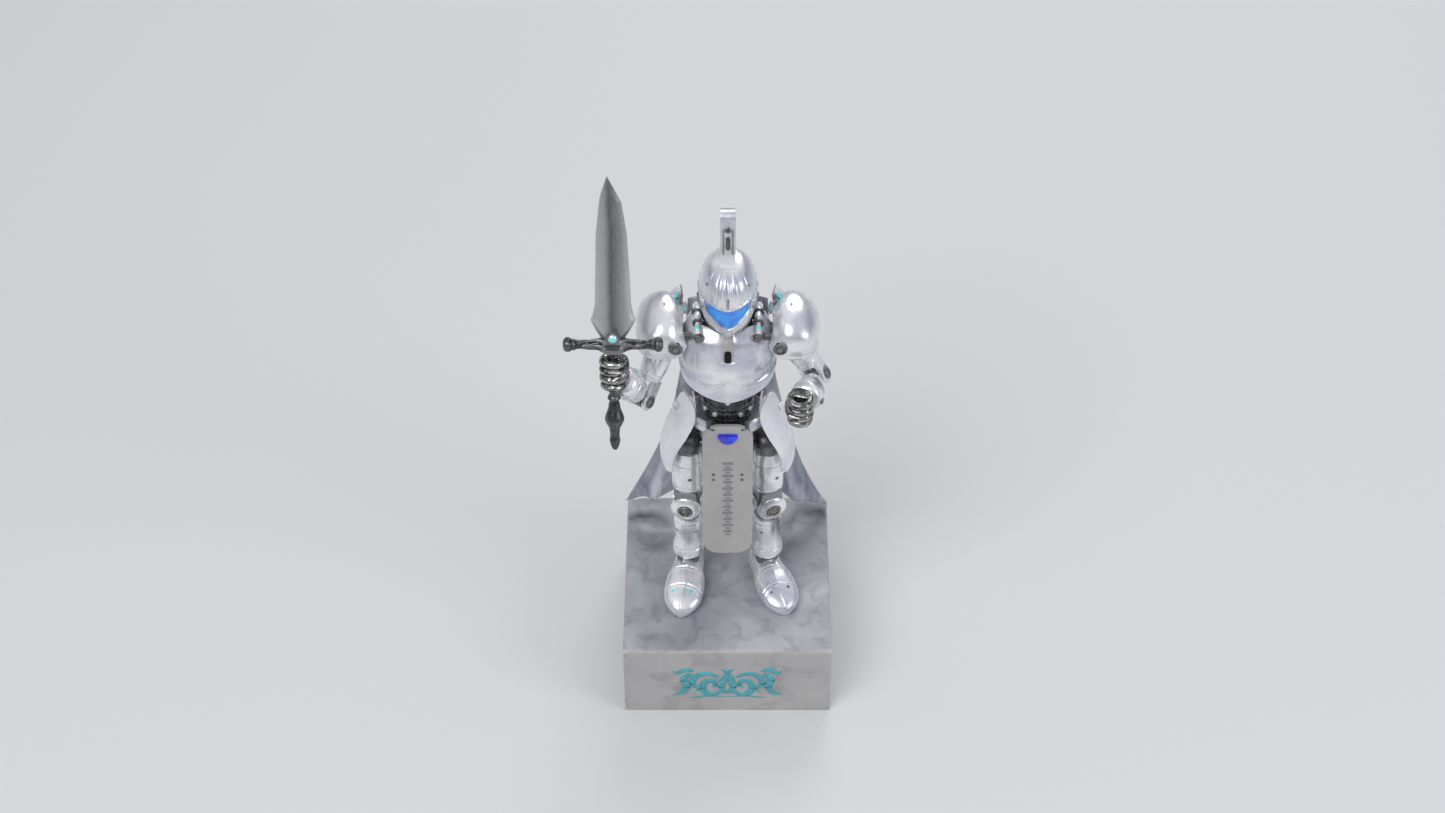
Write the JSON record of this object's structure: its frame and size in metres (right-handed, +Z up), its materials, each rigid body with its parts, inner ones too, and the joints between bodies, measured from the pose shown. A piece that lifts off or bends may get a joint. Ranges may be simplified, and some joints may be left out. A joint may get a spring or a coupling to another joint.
{
  "type": "armoured knight action figure on a display base",
  "caption": "Jointed armoured knight figure with a raised sword, hinged helmet plate and cloth cape, standing on pegs on a square display base.",
  "frame": {"origin": "centre of the display base's underside", "axes": "+Z up, -Y the way the figure faces, +X to the figure's left"},
  "size_m": [0.0928, 0.0763, 0.2298],
  "materials": {
    "armour_silver": "silver metallic paint over moulded plastic, satin to gloss",
    "armour_white": "pearl white gloss paint",
    "joint_dark": "dark gunmetal moulded joints, worn highlights",
    "fist_chrome": "dark vacuum-plated plastic with mottled wear",
    "plate_grey": "flat grey plate, fine scratches",
    "gem_blue": "clear-coated deep blue",
    "lens_blue": "translucent bright blue lens",
    "cape_cloth": "matte lilac-grey woven cloth",
    "base_stone": "moulded plastic painted as mottled grey stone",
    "cover_dark": "fine moulded texture",
    "emblem_teal": "worn teal paint",
    "screw_steel": "zinc plated",
    "blade_steel": "steel-coloured metallic paint, brushed look",
    "hilt_dark": "dark antique metal paint"
  },
  "bodies": {
    "base": {"base_block": "base_stone", "base_cover": "cover_dark", "base_screws": "screw_steel", "foot_pegs": "screw_steel", "base_emblem": "emblem_teal"},
    "pelvis": {"pelvis_core": "joint_dark", "hip_pins": "joint_dark", "belt_plate": "armour_silver", "tasset_pins": "joint_dark", "tabard_pin": "joint_dark"},
    "tabard": {"tabard_plate": "plate_grey", "tabard_gem": "gem_blue", "tabard_studs": "plate_grey"},
    "tasset_right": {"tasset_right": "armour_white"},
    "tasset_left": {"tasset_left": "armour_white"},
    "abdomen": {"abdomen_bowl": "joint_dark"},
    "torso": {"torso_core": "joint_dark", "breast_plate": "armour_silver", "belly_plate": "armour_silver", "chest_stripe": "plate_grey", "back_plate": "armour_silver", "collar_ring": "joint_dark", "cape": "cape_cloth", "cape_studs": "joint_dark", "pauldron_bolts": "joint_dark"},
    "neck": {"neck_link": "joint_dark"},
    "head": {"helmet": "armour_silver", "eye_lens": "lens_blue", "jaw_plate": "armour_silver", "temple_rivets": "joint_dark"},
    "visor": {"brow_plate": "armour_silver", "crest": "armour_silver"},
    "pauldron_right": {"pauldron_right": "armour_silver", "shoulder_fin_right": "armour_silver"},
    "shoulder_right": {"shoulder_hub_right": "joint_dark"},
    "upper_arm_right": {"upper_arm_right": "armour_silver", "elbow_pin_right": "joint_dark"},
    "forearm_right": {"forearm_right": "armour_silver"},
    "hand_right": {"fist_right": "fist_chrome"},
    "thigh_right": {"thigh_right": "armour_silver", "knee_pin_right": "joint_dark", "knee_cap_right": "armour_silver"},
    "shin_right": {"shin_right": "armour_silver"},
    "foot_right": {"foot_right": "armour_silver"},
    "pauldron_left": {"pauldron_left": "armour_silver", "shoulder_fin_left": "armour_silver"},
    "shoulder_left": {"shoulder_hub_left": "joint_dark"},
    "upper_arm_left": {"upper_arm_left": "armour_silver", "elbow_pin_left": "joint_dark"},
    "forearm_left": {"forearm_left": "armour_silver"},
    "hand_left": {"fist_left": "fist_chrome"},
    "thigh_left": {"thigh_left": "armour_silver", "knee_pin_left": "joint_dark", "knee_cap_left": "armour_silver"},
    "shin_left": {"shin_left": "armour_silver"},
    "foot_left": {"foot_left": "armour_silver"},
    "sword": {"sword_blade": "blade_steel", "sword_guard": "hilt_dark", "sword_grip": "hilt_dark"}
  },
  "joints": [
    {"name": "figure_lift", "type": "slide", "parent": "base", "child": "pelvis", "axis": [0, 0, 1], "range_m": [0, 0.04]},
    {"name": "tabard_swing", "type": "hinge", "parent": "pelvis", "child": "tabard", "pos_m": [0, -0.0132, 0.1242], "axis": [-1, 0, 0], "range_deg": [0, 65]},
    {"name": "waist_turn", "type": "hinge", "parent": "pelvis", "child": "abdomen", "pos_m": [0, 0, 0.124], "axis": [0, 0, 1], "range_deg": [-20, 20]},
    {"name": "waist_lean", "type": "hinge", "parent": "abdomen", "child": "torso", "pos_m": [0, 0, 0.134], "axis": [1, 0, 0], "range_deg": [-4, 8]},
    {"name": "neck_nod", "type": "hinge", "parent": "torso", "child": "neck", "pos_m": [0, 0, 0.1695], "axis": [1, 0, 0], "range_deg": [-8, 8]},
    {"name": "head_turn", "type": "hinge", "parent": "neck", "child": "head", "pos_m": [0, 0, 0.1725], "axis": [0, 0, 1], "range_deg": [-40, 40]},
    {"name": "visor_raise", "type": "hinge", "parent": "head", "child": "visor", "pos_m": [0, 0, 0.1805], "axis": [-1, 0, 0], "range_deg": [0, 25]},
    {"name": "pauldron_right_lift", "type": "hinge", "parent": "torso", "child": "pauldron_right", "pos_m": [-0.0175, -0.01, 0.163], "axis": [0, 1, 0], "range_deg": [0, 18]},
    {"name": "shoulder_right_swing", "type": "hinge", "parent": "torso", "child": "shoulder_right", "pos_m": [-0.02, 0, 0.16], "axis": [-1, 0, 0], "range_deg": [-30, 6]},
    {"name": "arm_right_raise", "type": "hinge", "parent": "shoulder_right", "child": "upper_arm_right", "pos_m": [-0.02, 0, 0.16], "axis": [0, 0.8288, -0.5595], "range_deg": [0, 14]},
    {"name": "elbow_right_bend", "type": "hinge", "parent": "upper_arm_right", "child": "forearm_right", "pos_m": [-0.0295, -0.0135, 0.14], "axis": [-0.801, 0.5982, -0.0233], "range_deg": [-55, 6]},
    {"name": "wrist_right_turn", "type": "hinge", "parent": "forearm_right", "child": "hand_right", "pos_m": [-0.038, -0.024, 0.1626], "axis": [-0.3228, -0.3988, 0.8583], "range_deg": [-15, 15]},
    {"name": "leg_right_raise", "type": "hinge", "parent": "pelvis", "child": "thigh_right", "pos_m": [-0.0143, 0, 0.105], "axis": [-0.9903, 0.1392, 0], "range_deg": [0, 40]},
    {"name": "knee_right_bend", "type": "hinge", "parent": "thigh_right", "child": "shin_right", "pos_m": [-0.0143, 0, 0.075], "axis": [-0.9903, 0.1392, 0], "range_deg": [-81, 1]},
    {"name": "ankle_right_tilt", "type": "hinge", "parent": "shin_right", "child": "foot_right", "pos_m": [-0.0143, 0, 0.045], "axis": [-0.9903, 0.1392, 0], "range_deg": [-1, 41]},
    {"name": "tasset_right_swing", "type": "hinge", "parent": "pelvis", "child": "tasset_right", "pos_m": [-0.0175, -0.002, 0.1245], "axis": [-1, 0, 0], "range_deg": [0, 23]},
    {"name": "pauldron_left_lift", "type": "hinge", "parent": "torso", "child": "pauldron_left", "pos_m": [0.0175, -0.01, 0.163], "axis": [0, -1, 0], "range_deg": [0, 18]},
    {"name": "shoulder_left_swing", "type": "hinge", "parent": "torso", "child": "shoulder_left", "pos_m": [0.02, 0, 0.16], "axis": [-1, 0, 0], "range_deg": [-12, 20]},
    {"name": "arm_left_raise", "type": "hinge", "parent": "shoulder_left", "child": "upper_arm_left", "pos_m": [0.02, 0, 0.16], "axis": [0, -0.9989, 0.0465], "range_deg": [0, 8]},
    {"name": "elbow_left_bend", "type": "hinge", "parent": "upper_arm_left", "child": "forearm_left", "pos_m": [0.0308, -0.001, 0.1385], "axis": [-0.8857, 0.1133, -0.4502], "range_deg": [-60, 4]},
    {"name": "wrist_left_turn", "type": "hinge", "parent": "forearm_left", "child": "hand_left", "pos_m": [0.0243, -0.024, 0.1455], "axis": [-0.261, -0.9235, 0.2811], "range_deg": [-40, 40]},
    {"name": "leg_left_raise", "type": "hinge", "parent": "pelvis", "child": "thigh_left", "pos_m": [0.0143, 0, 0.105], "axis": [-0.9397, -0.342, 0], "range_deg": [0, 40]},
    {"name": "knee_left_bend", "type": "hinge", "parent": "thigh_left", "child": "shin_left", "pos_m": [0.0143, 0, 0.075], "axis": [-0.9397, -0.342, 0], "range_deg": [-81, 1]},
    {"name": "ankle_left_tilt", "type": "hinge", "parent": "shin_left", "child": "foot_left", "pos_m": [0.0143, 0, 0.045], "axis": [-0.9397, -0.342, 0], "range_deg": [-1, 41]},
    {"name": "tasset_left_swing", "type": "hinge", "parent": "pelvis", "child": "tasset_left", "pos_m": [0.0175, -0.002, 0.1245], "axis": [-1, 0, 0], "range_deg": [0, 23]},
    {"name": "sword_twist", "type": "hinge", "parent": "hand_right", "child": "sword", "pos_m": [-0.038, -0.024, 0.1626], "axis": [0, 0.309, 0.9511], "range_deg": [-25, 8]}
  ],
  "couplings": [
    {"joint": "knee_right_bend", "follows": "leg_right_raise", "ratio": -2},
    {"joint": "ankle_right_tilt", "follows": "leg_right_raise", "ratio": 1},
    {"joint": "tasset_right_swing", "follows": "leg_right_raise", "ratio": 0.55},
    {"joint": "knee_left_bend", "follows": "leg_left_raise", "ratio": -2},
    {"joint": "ankle_left_tilt", "follows": "leg_left_raise", "ratio": 1},
    {"joint": "tasset_left_swing", "follows": "leg_left_raise", "ratio": 0.55}
  ]
}
